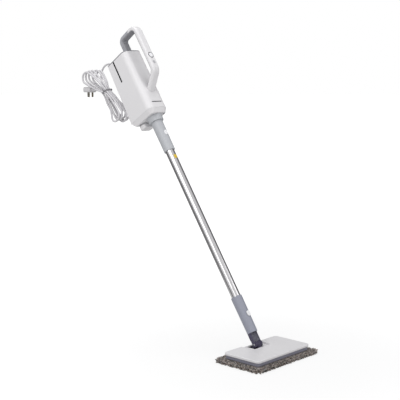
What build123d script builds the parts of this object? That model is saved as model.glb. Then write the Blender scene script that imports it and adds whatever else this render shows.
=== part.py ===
from build123d import *
from math import cos, pi, radians, sin, tan
import os

# Steam mop, in millimetres, +Z up, held by the hand grip as in use: the pole leans back towards
# the user (+Y) and the mop head stands flat in front. The origin is the middle of the hand grip.

# ------------------------------------------------------------------ driving dimensions
LEAN = 33.4  # the pole's lean from upright, degrees
GRIP_FRONT = 92.5  # the grip stands this far in front of the pole's axis

# heights along the pole, measured up from the head's pitch pin
ARM_CUT = 38  # the lower connector is open at the front below this
LOWER_CONNECTOR = 161
TUBE_SHOWN = 532
UPPER_CONNECTOR = 110
COLLAR = 21
BODY = 241
GRIP_BELOW_TOP = 35
TUBE_R = 15
TUBE_WALL = 1
TUBE_SEAT = 45
FIT = 0.08  # running fit of a shaft in a hole, on the radius
GAP = 0.3  # clearance between pieces that move apart
WALL = 2.5

BODY_BASE = dict(front=39, rear=70, half_width=43, corner=22, rear_corner=9)
BODY_TOP = dict(front=36, rear=62, half_width=41, corner=20, rear_corner=7)
CHIN = 16  # height of the bottom cover
CHIN_INSET = 9
RIM = 3  # the top cover's thickness

HANDLE_WIDTH = 30
HANDLE_THICK = 17
HANDLE_CORNER = 7
HANDLE_WALL = 2
HANDLE_SPLIT = 4  # the shells' joint lies this far inside the section's middle
HANDLE_RISE = 56  # the top limb's middle above the body's top face
HANDLE_REAR = 13.5

PAD_LENGTH = 298
PAD_WIDTH = 180
PAD_THICK = 12
PLATE_LENGTH = 254
PLATE_WIDTH = 139
PLATE_TOP = 31
PLATE_SKIRT = 7
BASE_INSET = 3
PIN_R = 3
PIVOT_BACK = 38.8  # the pitch pin is this far behind the pad's middle
PIVOT_HEIGHT = 36.6
ROLL_DROP = 9.6  # the roll pin is this far below the pitch pin

CORD_R = 3.25

# ------------------------------------------------------------------ heights and planes
upper_bottom = LOWER_CONNECTOR + TUBE_SHOWN
upper_top = upper_bottom + UPPER_CONNECTOR
body_bottom = upper_top + COLLAR
body_top = body_bottom + BODY
shell_bottom = body_bottom + CHIN
shell_top = body_top - RIM
grip_height = body_top - GRIP_BELOW_TOP

lean = radians(LEAN)
up_pole = Vector(0, sin(lean), cos(lean))
forward = Vector(0, -cos(lean), sin(lean))
sideways = Vector(1, 0, 0)
pivot = (up_pole * grip_height + forward * GRIP_FRONT) * -1


def spot(front, height, side=0):
    """The point so far in front of the pole's axis, up the pole and to the side."""
    return pivot + forward * front + up_pole * height + sideways * side


pole = Plane(origin=pivot, x_dir=sideways, z_dir=up_pole)  # local y points to the rear
profile = Plane(origin=pivot, x_dir=forward, z_dir=sideways * -1)  # (front, height)
pole_axis = Axis(pivot, up_pole)
floor = Plane(origin=(0, pivot.Y - PIVOT_BACK, pivot.Z - PIVOT_HEIGHT))
os.makedirs("parts", exist_ok=True)


def facing_front(front, height):
    """A plane that faces the front of the pole, at a distance from its axis and a height."""
    return Plane(origin=spot(front, height), x_dir=sideways, z_dir=forward)


def turned(*outline):
    """The face of a piece that is turned about the pole's axis, as (radius, height) points."""
    with BuildSketch(profile) as face:
        with BuildLine():
            Polyline(*outline, close=True)
        make_face()
    return face.sketch


def side_outline(*outline):
    """A face in the side view of the pole, as (front, height) points."""
    return turned(*outline)


def block(x_size, y_size, z_size, plane, z_start=0):
    """A separate block on a plane: centred in x and y, and rising from z_start."""
    with BuildPart() as made:
        with BuildSketch(plane.offset(z_start)):
            Rectangle(x_size, y_size)
        extrude(amount=z_size)
    return made.part


def save(piece, name):
    piece.label = name
    export_step(piece, f"parts/{name}.step")


# ================================================================== mop head
head_solids = {}
base_top = PLATE_TOP - PLATE_SKIRT
STRIP = 1.0
base_bottom = PAD_THICK + GAP + STRIP

# The washable pad: a flat pile cushion, larger than the plate all round.
PAD_CORNER = 14
with BuildPart() as mop_pad:
    with BuildSketch(floor):
        RectangleRounded(PAD_LENGTH, PAD_WIDTH, PAD_CORNER)
    extrude(amount=PAD_THICK)
    fillet(mop_pad.edges().group_by(Axis.Z)[-1], 4)
    fillet(mop_pad.edges().group_by(Axis.Z)[0], 3)
save(mop_pad.part, "mop_pad")

# Four strips of hook tape hold the pad under the base.
STRIP_LENGTH = 88
STRIP_WIDTH = 16
with BuildPart() as pad_fastener:
    with BuildSketch(floor.offset(PAD_THICK + GAP)):
        with GridLocations(PLATE_LENGTH - STRIP_LENGTH - 40, PLATE_WIDTH - STRIP_WIDTH - 20, 2, 2):
            RectangleRounded(STRIP_LENGTH, STRIP_WIDTH, 3)
    extrude(amount=STRIP)
save(pad_fastener.part, "pad_fastener")

# The base: a moulded tray under the white plate, with the steam chamber's floor let into it.
BASE_CORNER = 11
base_length = PLATE_LENGTH - 2 * BASE_INSET
base_width = PLATE_WIDTH - 2 * BASE_INSET
JET_LENGTH = 190
JET_WIDTH = 50
JET_THICK = 1.5
FLOOR_THICK = 3
SCREW_R = 1.6
HEAD_SCREW_X = 108
HEAD_SCREW_Y = 50
SCREW_BOSS_R = 5
with BuildPart() as head_base:
    with BuildSketch(floor.offset(base_bottom)):
        RectangleRounded(base_length, base_width, BASE_CORNER)
    extrude(amount=base_top - base_bottom)
    with BuildSketch(floor.offset(base_bottom + FLOOR_THICK)):
        RectangleRounded(base_length - 2 * WALL, base_width - 2 * WALL, BASE_CORNER - WALL)
    extrude(amount=base_top, mode=Mode.SUBTRACT)
    with BuildSketch(floor.offset(base_bottom + FLOOR_THICK)):
        with GridLocations(2 * HEAD_SCREW_X, 2 * HEAD_SCREW_Y, 2, 2):
            Circle(SCREW_BOSS_R)
    extrude(amount=base_top - base_bottom - FLOOR_THICK)
    with BuildSketch(floor.offset(base_bottom)):
        with GridLocations(2 * HEAD_SCREW_X, 2 * HEAD_SCREW_Y, 2, 2):
            Circle(SCREW_R + FIT)
    extrude(amount=base_top, mode=Mode.SUBTRACT)
    with BuildSketch(floor.offset(base_bottom)):
        Rectangle(JET_LENGTH + 2 * FIT, JET_WIDTH + 2 * FIT)
    extrude(amount=JET_THICK, mode=Mode.SUBTRACT)
    with BuildSketch(floor.offset(base_bottom)):
        Circle(4)
    extrude(amount=FLOOR_THICK, mode=Mode.SUBTRACT)
save(head_base.part, "head_base")

# The steam plate spreads the steam through three rows of small holes.
with BuildPart() as steam_plate:
    with BuildSketch(floor.offset(base_bottom)):
        Rectangle(JET_LENGTH, JET_WIDTH)
        with GridLocations(24, 16, 7, 3):
            Circle(1.5, mode=Mode.SUBTRACT)
    extrude(amount=JET_THICK)
save(steam_plate.part, "steam_plate")

# The white plate: a lid with a skirt, a notch that is open to the rear, and the hinge's well.
PLATE_CORNER = 14
PLATE_EDGE = 2.4
NOTCH_HALF = 44
NOTCH_FRONT = 20
NOTCH_FLOOR = 5
WELL_HALF = 22.5
WELL_FRONT = 23
WELL_REAR = 62
notch_depth = PLATE_WIDTH / 2 - NOTCH_FRONT
notch_place = floor.offset(PLATE_TOP - NOTCH_FLOOR)
with BuildPart() as top_plate:
    with BuildSketch(floor.offset(base_top)):
        RectangleRounded(PLATE_LENGTH, PLATE_WIDTH, PLATE_CORNER)
    extrude(amount=PLATE_SKIRT)
    fillet(top_plate.edges().group_by(Axis.Z)[-1], PLATE_EDGE)
    with BuildSketch(notch_place):
        with Locations((0, NOTCH_FRONT + notch_depth)):
            RectangleRounded(2 * NOTCH_HALF, 2 * notch_depth, 8)
    extrude(amount=NOTCH_FLOOR, mode=Mode.SUBTRACT)
    with BuildSketch(floor.offset(base_top)):
        RectangleRounded(PLATE_LENGTH - 3 * WALL, PLATE_WIDTH - 3 * WALL, PLATE_CORNER - WALL)
        with Locations((0, NOTCH_FRONT + notch_depth)):
            Rectangle(2 * NOTCH_HALF + 2 * WALL, 2 * notch_depth + 2 * WALL, mode=Mode.SUBTRACT)
    extrude(amount=PLATE_SKIRT - WALL, mode=Mode.SUBTRACT)
    with BuildSketch(floor.offset(base_top)):
        with Locations((0, (WELL_FRONT + WELL_REAR) / 2)):
            RectangleRounded(2 * WELL_HALF, WELL_REAR - WELL_FRONT, 5)
    extrude(amount=PLATE_SKIRT, mode=Mode.SUBTRACT)
    with BuildSketch(floor.offset(base_top)):
        with GridLocations(2 * HEAD_SCREW_X, 2 * HEAD_SCREW_Y, 2, 2):
            Circle(SCREW_BOSS_R)
            Circle(SCREW_R + FIT, mode=Mode.SUBTRACT)
    extrude(amount=PLATE_SKIRT - WALL)
save(top_plate.part, "top_plate")

# Four screws go up through the base into the plate's bosses.
with BuildPart() as head_screws:
    with BuildSketch(floor.offset(base_bottom + FIT)):
        with GridLocations(2 * HEAD_SCREW_X, 2 * HEAD_SCREW_Y, 2, 2):
            Circle(SCREW_R)
    extrude(amount=PLATE_TOP - base_bottom - WALL - GAP)
save(head_screws.part, "head_screws")

# The hinge bracket: a foot screwed to the base, and two ears that hold the roll pin fore and aft.
EAR_HALF = 7
EAR_THICK = 3.5
KNUCKLE_HALF_DEPTH = 9
ear_start = KNUCKLE_HALF_DEPTH + GAP
roll_height = PIVOT_HEIGHT - ROLL_DROP
bracket_bottom = base_bottom + FLOOR_THICK
BRACKET_FOOT = 2
hinge_plane = Plane(origin=floor.from_local_coords((0, PIVOT_BACK, 0)))
with BuildPart() as hinge_bracket:
    with BuildSketch(hinge_plane.offset(bracket_bottom)):
        Rectangle(40, 2 * (ear_start + EAR_THICK) + 6)
    extrude(amount=BRACKET_FOOT)
    for sign in (-1, 1):
        ear = Plane(
            origin=hinge_plane.from_local_coords((0, sign * (ear_start + EAR_THICK / 2), roll_height)),
            x_dir=(1, 0, 0),
            z_dir=(0, -1, 0),
        )
        with BuildSketch(ear):
            Circle(EAR_HALF - 0.5)
            with Locations((0, -(roll_height - bracket_bottom) / 2)):
                Rectangle(2 * EAR_HALF - 1, roll_height - bracket_bottom)
            Circle(PIN_R + FIT / 2, mode=Mode.SUBTRACT)
        extrude(amount=EAR_THICK / 2, both=True)
save(hinge_bracket.part, "hinge_bracket")

roll_plane = Plane(
    origin=hinge_plane.from_local_coords((0, 0, roll_height)), x_dir=(1, 0, 0), z_dir=(0, -1, 0)
)
with BuildPart() as roll_pin:
    with BuildSketch(roll_plane):
        Circle(PIN_R)
    extrude(amount=ear_start + EAR_THICK, both=True)
save(roll_pin.part, "roll_pin")

# ================================================================== knuckle of the universal joint
ARM_INNER = 14.2
CONNECTOR_R = 16.75  # at the pin
CONNECTOR_TOP_R = 18
knuckle_half = ARM_INNER - GAP
LUG_R = 7
RIB_PITCH = 3.4
pitch_plane = Plane(origin=pivot, x_dir=(0, 1, 0), z_dir=(1, 0, 0))
pitch_axis = Axis(pivot, (1, 0, 0))
with BuildPart() as knuckle:
    with BuildSketch(pitch_plane):
        Circle(KNUCKLE_HALF_DEPTH)
    extrude(amount=knuckle_half, both=True)
    with BuildSketch(roll_plane):
        Circle(LUG_R)
        with Locations((0, ROLL_DROP / 2)):
            Rectangle(2 * LUG_R, ROLL_DROP)
    extrude(amount=KNUCKLE_HALF_DEPTH, both=True)
    for rib in range(-3, 4):
        with BuildSketch(Plane(origin=spot(0, 0, rib * RIB_PITCH), x_dir=(0, 1, 0), z_dir=(1, 0, 0))):
            Circle(KNUCKLE_HALF_DEPTH + 1)
            Circle(KNUCKLE_HALF_DEPTH - 1, mode=Mode.SUBTRACT)
            with Locations((0, -KNUCKLE_HALF_DEPTH)):
                Rectangle(4 * KNUCKLE_HALF_DEPTH, 2 * KNUCKLE_HALF_DEPTH, mode=Mode.SUBTRACT)
        extrude(amount=0.6, both=True, mode=Mode.SUBTRACT)
    with BuildSketch(roll_plane):
        Circle(PIN_R + FIT)
    extrude(amount=2 * KNUCKLE_HALF_DEPTH, both=True, mode=Mode.SUBTRACT)
    with BuildSketch(pitch_plane):
        Circle(PIN_R + FIT / 2)
    extrude(amount=2 * knuckle_half, both=True, mode=Mode.SUBTRACT)
save(knuckle.part, "knuckle")

with BuildPart() as pitch_pin:
    with BuildSketch(pitch_plane):
        Circle(PIN_R)
    extrude(amount=CONNECTOR_R - 0.4, both=True)
save(pitch_pin.part, "pitch_pin")

# ================================================================== lower connector
ARM_FRONT = 4
REAR_WALL_END = 16
ARM_END_R = 9
BUTTON_SEAT = 14.5  # the floor of a button's pocket, from the pole's axis
BUTTON_PILL = (18, 12)
BUTTON_THICK = 3.4
BUTTON_LIFT = 2.7  # the button's underside above the pocket's floor
LOWER_BUTTON = 97
SOLID_START = 78
STEAM_PIPE_R = 3
SPIGOT_REACH = 14
tube_bottom = LOWER_CONNECTOR - TUBE_SEAT
with BuildPart() as lower_connector:
    revolve(
        turned(
            (0, -ARM_END_R),
            (CONNECTOR_R, -ARM_END_R),
            (CONNECTOR_R, ARM_CUT),
            (CONNECTOR_TOP_R, LOWER_CONNECTOR),
            (0, LOWER_CONNECTOR),
        ),
        axis=pole_axis,
    )
    revolve(
        turned(
            (0, tube_bottom), (TUBE_R + FIT, tube_bottom), (TUBE_R + FIT, LOWER_CONNECTOR + 1), (0, LOWER_CONNECTOR + 1)
        ),
        axis=pole_axis,
        mode=Mode.SUBTRACT,
    )
    revolve(
        turned((0, -ARM_END_R - 1), (ARM_INNER, -ARM_END_R - 1), (ARM_INNER, SOLID_START), (0, SOLID_START)),
        axis=pole_axis,
        mode=Mode.SUBTRACT,
    )
    with BuildSketch(pole):
        Circle(STEAM_PIPE_R + FIT)
    extrude(amount=tube_bottom + 1, mode=Mode.SUBTRACT)
    arm_cut = side_outline((ARM_FRONT, -30), (30, -30), (30, ARM_CUT), (ARM_FRONT, ARM_CUT))
    extrude(arm_cut, amount=30, both=True, mode=Mode.SUBTRACT)
    rear_cut = side_outline((-30, -30), (ARM_FRONT, -30), (ARM_FRONT, REAR_WALL_END), (-30, REAR_WALL_END))
    extrude(rear_cut, amount=ARM_INNER, both=True, mode=Mode.SUBTRACT)
    with BuildSketch(profile):
        with Locations((0, -20)):
            Rectangle(60, 40)
        Circle(ARM_END_R, mode=Mode.SUBTRACT)
    extrude(amount=30, both=True, mode=Mode.SUBTRACT)
    with BuildSketch(pitch_plane):
        Circle(PIN_R + FIT)
    extrude(amount=30, both=True, mode=Mode.SUBTRACT)
    with BuildSketch(facing_front(BUTTON_SEAT, LOWER_BUTTON)):
        SlotOverall(BUTTON_PILL[0] + 2 * GAP, BUTTON_PILL[1] + 2 * GAP, rotation=90)
    extrude(amount=10, mode=Mode.SUBTRACT)
with BuildPart() as sleeve:
    add(lower_connector.part)
    with BuildSketch(pole.offset(ARM_CUT)):
        Circle(3 * CONNECTOR_R)
    extrude(amount=LOWER_CONNECTOR, mode=Mode.INTERSECT)
save(sleeve.part, "lower_connector")

# The dark fork is welded under the sleeve: two arms and the wall behind them, grooved along their length.
FORK_GROOVES = 30
with BuildPart() as joint_fork:
    add(lower_connector.part)
    with BuildSketch(pole.offset(ARM_CUT)):
        Circle(3 * CONNECTOR_R)
    extrude(amount=-2 * ARM_CUT, mode=Mode.INTERSECT)
    with BuildSketch(pole.offset(-ARM_END_R - 1)):
        with PolarLocations(CONNECTOR_R, FORK_GROOVES):
            Rectangle(1.6, 1.2)
    extrude(amount=ARM_CUT + ARM_END_R - 2, mode=Mode.SUBTRACT)
save(joint_fork.part, "joint_fork")

# The ribbed rubber boot closes the front of the joint, above the knuckle.
BOOT_START = 12
BOOT_LIP = 9.6  # the front of the boot reaches down to the knuckle
BOOT_LIP_REAR = 3
BOOT_END = 52
BOOT_FRONT = 2
BOOT_REAR = 9
with BuildPart() as joint_boot:
    for start, end, rear in ((BOOT_START, BOOT_END, BOOT_REAR), (BOOT_LIP, BOOT_START, BOOT_LIP_REAR)):
        with BuildSketch(pole.offset(start)):
            Circle(ARM_INNER - GAP)
            with Locations((0, (rear - BOOT_FRONT) / 2)):
                Rectangle(2 * ARM_INNER, BOOT_FRONT + rear, mode=Mode.INTERSECT)
            with Locations(*[(rib * RIB_PITCH, -BOOT_FRONT) for rib in range(-3, 4)]):
                Rectangle(1.2, 2, mode=Mode.SUBTRACT)
        extrude(amount=end - start)
save(joint_boot.part, "joint_boot")

# The steam nozzle stands up into the tube's lower plug.
NOZZLE_FLANGE = 3
with BuildPart() as lower_nozzle:
    revolve(
        turned(
            (1.6, BOOT_END + 8),
            (STEAM_PIPE_R, BOOT_END + 8),
            (STEAM_PIPE_R, SOLID_START - NOZZLE_FLANGE),
            (12, SOLID_START - NOZZLE_FLANGE),
            (12, SOLID_START),
            (STEAM_PIPE_R, SOLID_START),
            (STEAM_PIPE_R, tube_bottom + SPIGOT_REACH),
            (1.6, tube_bottom + SPIGOT_REACH),
        ),
        axis=pole_axis,
    )
save(lower_nozzle.part, "lower_nozzle")

# ================================================================== release buttons, alike
UPPER_BUTTON_RISE = 61  # above the upper connector's lower end
for place, height in (("lower", LOWER_BUTTON), ("upper", upper_bottom + UPPER_BUTTON_RISE)):
    with BuildPart() as button:
        with BuildSketch(facing_front(BUTTON_SEAT + BUTTON_LIFT, height)):
            SlotOverall(*BUTTON_PILL, rotation=90)
        extrude(amount=BUTTON_THICK)
        fillet(button.faces().sort_by(Axis(pivot, forward))[-1].edges(), 1.2)
    save(button.part, f"{place}_button")
    with BuildPart() as spring:
        with BuildSketch(facing_front(BUTTON_SEAT, height)):
            Circle(3.4)
            Circle(2.4, mode=Mode.SUBTRACT)
        extrude(amount=1.3)
    save(spring.part, f"{place}_spring")

# ================================================================== pole
tube_top = upper_bottom + TUBE_SEAT
with BuildPart() as main_tube:
    with BuildSketch(pole.offset(tube_bottom + GAP)):
        Circle(TUBE_R)
        Circle(TUBE_R - TUBE_WALL, mode=Mode.SUBTRACT)
    extrude(amount=tube_top - tube_bottom - 2 * GAP)
save(main_tube.part, "main_tube")

PLUG_LENGTH = 16
for name, start in (("lower_plug", tube_bottom + GAP), ("upper_plug", tube_top - GAP - PLUG_LENGTH)):
    with BuildPart() as tube_plug:
        with BuildSketch(pole.offset(start)):
            Circle(TUBE_R - TUBE_WALL - FIT)
            Circle(STEAM_PIPE_R + FIT, mode=Mode.SUBTRACT)
        extrude(amount=PLUG_LENGTH)
    save(tube_plug.part, name)

with BuildPart() as steam_pipe:
    with BuildSketch(pole.offset(tube_bottom + GAP + PLUG_LENGTH)):
        Circle(STEAM_PIPE_R + 1)
        Circle(STEAM_PIPE_R - 0.5, mode=Mode.SUBTRACT)
    extrude(amount=tube_top - tube_bottom - 2 * GAP - 2 * PLUG_LENGTH)
save(steam_pipe.part, "steam_pipe")

# A plain warning-coloured sticker, with no print on it.
STICKER_BELOW = 27.5  # below the upper connector
STICKER = 13
STICKER_THICK = 0.2
with BuildPart() as tube_sticker:
    with BuildSketch(pole.offset(upper_bottom - STICKER_BELOW - STICKER / 2)):
        Circle(TUBE_R + STICKER_THICK)
        Circle(TUBE_R, mode=Mode.SUBTRACT)
        with Locations((0, -TUBE_R)):
            Rectangle(STICKER, TUBE_R, mode=Mode.INTERSECT)
    extrude(amount=STICKER)
save(tube_sticker.part, "tube_sticker")

# ================================================================== upper connector and collar
UPPER_R = 18.75
UPPER_TOP_R = 19.6
NECK_R = 17
NECK_CAVITY_R = 14
button_zone_top = upper_bottom + UPPER_BUTTON_RISE + 18
neck_top = body_bottom + 8
with BuildPart() as upper_connector:
    revolve(
        turned(
            (STEAM_PIPE_R + FIT, tube_top),
            (TUBE_R + FIT, tube_top),
            (TUBE_R + FIT, upper_bottom),
            (UPPER_R, upper_bottom),
            (UPPER_TOP_R, upper_top),
            (NECK_R, upper_top),
            (NECK_R, neck_top),
            (NECK_CAVITY_R, neck_top),
            (NECK_CAVITY_R, button_zone_top),
            (STEAM_PIPE_R + FIT, button_zone_top),
        ),
        axis=pole_axis,
    )
    with BuildSketch(facing_front(BUTTON_SEAT, upper_bottom + UPPER_BUTTON_RISE)):
        SlotOverall(BUTTON_PILL[0] + 2 * GAP, BUTTON_PILL[1] + 2 * GAP, rotation=90)
    extrude(amount=10, mode=Mode.SUBTRACT)
save(upper_connector.part, "upper_connector")

COLLAR_R = 25
COLLAR_TOP_R = 26.8
COLLAR_FLANGE_R = 28.3
FLANGE = 4
cover_floor = body_bottom + 3.5
with BuildPart() as neck_collar:
    revolve(
        turned(
            (NECK_R + FIT, upper_top),
            (COLLAR_R - 1, upper_top),
            (COLLAR_R, upper_top + 1),
            (COLLAR_TOP_R, body_bottom),
            (COLLAR_TOP_R, cover_floor),
            (COLLAR_FLANGE_R, cover_floor),
            (COLLAR_FLANGE_R, cover_floor + FLANGE),
            (NECK_R + FIT, cover_floor + FLANGE),
        ),
        axis=pole_axis,
    )
save(neck_collar.part, "neck_collar")


# ================================================================== body casing
def body_section(height, inset=0.0):
    """The casing's rounded cross-section at a height; it tapers a little towards the top."""
    share = (height - shell_bottom) / (body_top - shell_bottom)
    size = {key: BODY_BASE[key] + share * (BODY_TOP[key] - BODY_BASE[key]) for key in BODY_BASE}
    with BuildSketch(pole.offset(height)) as section:
        with Locations((0, (size["rear"] - size["front"]) / 2)):
            Rectangle(2 * (size["half_width"] - inset), size["front"] + size["rear"] - 2 * inset)
        front_corners = section.vertices().group_by(Axis.Y)[0]
        rear_corners = section.vertices().group_by(Axis.Y)[-1]
        fillet(front_corners, size["corner"] - inset)
        fillet(rear_corners, max(size["rear_corner"] - inset, 2))
    return section.sketch


def body_prism(low, high, inset=0.0, low_inset=None):
    """The solid between two of the casing's cross-sections."""
    with BuildPart() as made:
        loft([body_section(low, inset if low_inset is None else low_inset), body_section(high, inset)])
    return made.part


casing_outside = body_prism(shell_bottom, body_top)
casing_inside = body_prism(shell_bottom, shell_top, WALL)

WINDOW_FRONT = -31
WINDOW_WIDTH = 6
WINDOW_LENGTH = 81
window_middle = body_top - 43.5
window_plane = Plane(origin=spot(WINDOW_FRONT, window_middle, -30), x_dir=forward, z_dir=(-1, 0, 0))
with BuildPart() as window_slot:
    with BuildSketch(window_plane):
        RectangleRounded(WINDOW_WIDTH, WINDOW_LENGTH, 1)
    extrude(amount=30)
with BuildPart() as window_core:
    with BuildSketch(window_plane):
        RectangleRounded(WINDOW_WIDTH - 2 * FIT, WINDOW_LENGTH - 2 * FIT, 1)
    extrude(amount=30)

CASE_SCREW_X = 26
CASE_SCREW_FRONT = 22
CASE_SCREW_REAR = 51
CASE_BOSS_R = 4.5
case_screw_middle = (CASE_SCREW_REAR - CASE_SCREW_FRONT) / 2
case_screw_grid = (2 * CASE_SCREW_X, CASE_SCREW_FRONT + CASE_SCREW_REAR, 2, 2)
CASE_BOSS_HEIGHT = 14
CASE_RIB = 12  # ribs tie the bosses to the side walls
with BuildPart() as body_shell:
    add(body_prism(shell_bottom, shell_top))
    add(casing_inside, mode=Mode.SUBTRACT)
    with BuildSketch(pole.offset(shell_bottom)):
        with Locations((0, case_screw_middle)):
            with GridLocations(*case_screw_grid):
                Circle(CASE_BOSS_R)
                Circle(SCREW_R + FIT, mode=Mode.SUBTRACT)
    extrude(amount=CASE_BOSS_HEIGHT)
    for side in (-1, 1):
        for rear in (-CASE_SCREW_FRONT, CASE_SCREW_REAR):
            with BuildSketch(pole.offset(shell_bottom)):
                with Locations((side * (CASE_SCREW_X + CASE_BOSS_R + CASE_RIB / 2 - 1), rear)):
                    Rectangle(CASE_RIB, 2)
            extrude(amount=CASE_BOSS_HEIGHT)
    add(casing_outside, mode=Mode.INTERSECT)
    add(window_slot.part, mode=Mode.SUBTRACT)
save(body_shell.part, "body_shell")

with BuildPart() as level_window:
    add(body_prism(shell_bottom, shell_top))
    add(casing_inside, mode=Mode.SUBTRACT)
    add(window_core.part, mode=Mode.INTERSECT)
save(level_window.part, "level_window")

with BuildPart() as top_cover:
    add(body_prism(shell_top, body_top))
    add(body_prism(shell_top - RIM, shell_top, WALL + FIT))
    add(body_prism(shell_top - RIM, shell_top, 2 * WALL), mode=Mode.SUBTRACT)
save(top_cover.part, "top_cover")

CAP_WIDTH = 46
CAP_DEPTH = 28
CAP_REAR = 50
FILLER_WIDTH = 30
FILLER_DEPTH = 14
FILLER_REAR = 46
with BuildPart() as bottom_cover:
    loft([body_section(body_bottom, CHIN_INSET), body_section(shell_bottom)])
    inner = loft(
        [body_section(cover_floor, CHIN_INSET + WALL / 2), body_section(shell_bottom, WALL)],
        mode=Mode.PRIVATE,
    )
    add(inner, mode=Mode.SUBTRACT)
    with BuildSketch(pole.offset(body_bottom)):
        Circle(COLLAR_TOP_R + FIT)
        with Locations((0, FILLER_REAR)):
            RectangleRounded(FILLER_WIDTH + 2 * GAP, FILLER_DEPTH + 2 * GAP, 5)
        with Locations((0, case_screw_middle)):
            with GridLocations(*case_screw_grid):
                Circle(SCREW_R + FIT)
    extrude(amount=CHIN, mode=Mode.SUBTRACT)
save(bottom_cover.part, "bottom_cover")

SCREW_HEAD_R = 3
SCREW_HEAD = 1.8
with BuildPart() as casing_screws:
    with BuildSketch(pole.offset(body_bottom - FIT)):
        with Locations((0, case_screw_middle)):
            with GridLocations(*case_screw_grid):
                Circle(SCREW_HEAD_R)
    extrude(amount=-SCREW_HEAD)
    with BuildSketch(pole.offset(body_bottom - FIT)):
        with Locations((0, case_screw_middle)):
            with GridLocations(*case_screw_grid):
                Circle(SCREW_R)
    extrude(amount=CHIN + CASE_BOSS_HEIGHT - 2)
save(casing_screws.part, "casing_screws")

# A plain dark dash on the nose.
BADGE_RISE = 37  # above the body's bottom
BADGE = (44, 2.8)
BADGE_THICK = 0.4
with BuildPart() as nose_badge:
    add(casing_outside)
    add(body_prism(shell_bottom, body_top, BADGE_THICK), mode=Mode.SUBTRACT)
    add(block(*BADGE, 60, facing_front(0, body_bottom + BADGE_RISE)), mode=Mode.INTERSECT)
badge_lift = forward * (BADGE_THICK + 0.02)
save(nose_badge.part.moved(Location(badge_lift)), "nose_badge")

# ================================================================== handle
WAIST = 96  # the front limb's lower bend, above the body's bottom
with BuildLine(profile) as handle_line:
    FilletPolyline(
        (HANDLE_REAR, body_top - 8),
        (HANDLE_REAR, body_top + HANDLE_RISE - 3),
        (GRIP_FRONT, body_top + HANDLE_RISE),
        (GRIP_FRONT, body_bottom + WAIST + 30),
        (20, body_bottom + 73),
        radius=(15, 20, 26),
    )
handle_start = Plane(origin=handle_line.line @ 0, x_dir=sideways, z_dir=handle_line.line % 0)


def handle_half(side):
    """Half of the handle's hollow section, swept: side 1 is outside the loop, -1 inside it."""
    with BuildSketch(handle_start) as section:
        RectangleRounded(HANDLE_WIDTH, HANDLE_THICK, HANDLE_CORNER)
        RectangleRounded(
            HANDLE_WIDTH - 2 * HANDLE_WALL,
            HANDLE_THICK - 2 * HANDLE_WALL,
            HANDLE_CORNER - HANDLE_WALL,
            mode=Mode.SUBTRACT,
        )
        with Locations((0, side * HANDLE_THICK / 2 - HANDLE_SPLIT)):
            Rectangle(HANDLE_WIDTH, HANDLE_THICK, mode=Mode.INTERSECT)
    with BuildPart() as swept:
        sweep(section.sketch, path=handle_line.line)
    return swept.part


# The white cover runs from the waist up the grip and over the top, to a slanting end.
COVER_END = 62
rear_region = side_outline(
    (COVER_END - 12, body_top + HANDLE_RISE - 20),
    (COVER_END + 12, body_top + HANDLE_RISE + 20),
    (-40, body_top + HANDLE_RISE + 20),
    (-40, body_top - 20),
    (COVER_END - 12, body_top - 20),
)
with BuildPart() as rear_zone:
    extrude(rear_region, amount=40, both=True)

with BuildPart() as handle_inner_shell:
    add(handle_half(-1))
    add(casing_outside, mode=Mode.SUBTRACT)
save(handle_inner_shell.part, "handle_inner_shell")

with BuildPart() as handle_back_shell:
    add(handle_half(1))
    add(rear_zone.part, mode=Mode.INTERSECT)
    add(casing_outside, mode=Mode.SUBTRACT)
save(handle_back_shell.part, "handle_back_shell")

BUTTON_HEIGHT = grip_height - 27
STEAM_BUTTON_HEIGHT = grip_height - 54
POWER_R = 8.3
STEAM_R = 5.2
RING_R = 10.5
handle_outer = GRIP_FRONT + HANDLE_THICK / 2
with BuildPart() as handle_front_cover:
    add(handle_half(1))
    add(rear_zone.part, mode=Mode.SUBTRACT)
    add(casing_outside, mode=Mode.SUBTRACT)
    with BuildSketch(facing_front(GRIP_FRONT, BUTTON_HEIGHT)):
        Circle(RING_R + FIT)
    extrude(amount=HANDLE_THICK, mode=Mode.SUBTRACT)
    with BuildSketch(facing_front(GRIP_FRONT, STEAM_BUTTON_HEIGHT)):
        Circle(STEAM_R + GAP)
    extrude(amount=HANDLE_THICK, mode=Mode.SUBTRACT)
save(handle_front_cover.part, "handle_front_cover")

# ================================================================== controls on the grip
BUTTON_PROUD = 0.8
BUTTON_DEEP = 5.2
BOARD = (16, 52)
BOARD_THICK = 1.2
# A switch block ends this far under its button, which travels 0.9 before it meets it.
PRESS_GAP = 1.3
handle_inside = GRIP_FRONT - HANDLE_THICK / 2 + HANDLE_WALL
switch_high = handle_outer + BUTTON_PROUD - BUTTON_DEEP - PRESS_GAP - handle_inside - BOARD_THICK
with BuildPart() as control_ring:
    with BuildSketch(facing_front(handle_outer - HANDLE_WALL, BUTTON_HEIGHT)):
        Circle(RING_R)
        Circle(POWER_R + GAP, mode=Mode.SUBTRACT)
    extrude(amount=HANDLE_WALL + 0.3)
save(control_ring.part, "control_ring")

for name, radius, height in (
    ("power_button", POWER_R, BUTTON_HEIGHT),
    ("steam_button", STEAM_R, STEAM_BUTTON_HEIGHT),
):
    with BuildPart() as knob:
        with BuildSketch(facing_front(handle_outer + BUTTON_PROUD, height)):
            Circle(radius)
        extrude(amount=-BUTTON_DEEP)
        fillet(knob.faces().sort_by(Axis(pivot, forward))[-1].edges(), 0.7)
    save(knob.part, name)

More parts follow.
